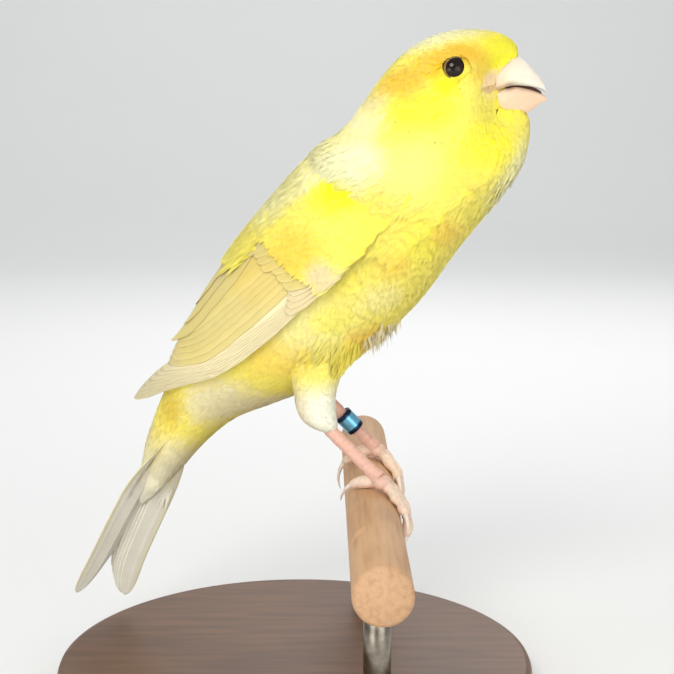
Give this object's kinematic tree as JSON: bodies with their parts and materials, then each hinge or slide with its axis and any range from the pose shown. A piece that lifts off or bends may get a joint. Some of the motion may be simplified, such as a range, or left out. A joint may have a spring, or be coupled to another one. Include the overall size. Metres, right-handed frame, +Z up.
{
  "type": "canary",
  "caption": "Yellow canary as a still, life-size model, gripping a short round wooden perch on a plain display stand, head turned to its side and tail hanging down.",
  "frame": {"origin": "centre of the stand's underside, on the surface that the stand rests on", "axes": "+Z up from the surface to the bird's crown, +X the way that the bird's breast mostly faces, square to the perch, +Y along the perch to the bird's left"},
  "size_m": [0.0946, 0.112, 0.1298],
  "materials": {
    "plumage": "soft feathers, matte",
    "wing": "smooth flight feathers, matte",
    "tail": "smooth tail feathers, matte",
    "thigh": "downy feathers, matte",
    "skin": "fine scales, satin",
    "bill": "horn, satin",
    "claw": "horn, satin",
    "eye": "glossy",
    "ring": "anodised, satin",
    "perch": "bare wood, worn",
    "stand": "stained, satin"
  },
  "bodies": {
    "root": {"head": "plumage", "neck": "plumage", "torso": "plumage", "tail": "tail", "bill_upper": "bill", "bill_lower": "bill", "eye_left": "eye", "eye_right": "eye", "wing_left": "wing", "wing_right": "wing", "thigh_left": "thigh", "thigh_right": "thigh", "tarsus_left": "skin", "tarsus_right": "skin", "foot_left": "skin", "foot_right": "skin", "claw_left_inner": "claw", "claw_left_middle": "claw", "claw_left_outer": "claw", "claw_left_hind": "claw", "claw_right_inner": "claw", "claw_right_middle": "claw", "claw_right_outer": "claw", "claw_right_hind": "claw", "leg_ring": "ring", "perch": "perch", "stand_base": "stand", "stand_rod_front": "stand", "stand_rod_back": "stand"}
  },
  "joints": []
}
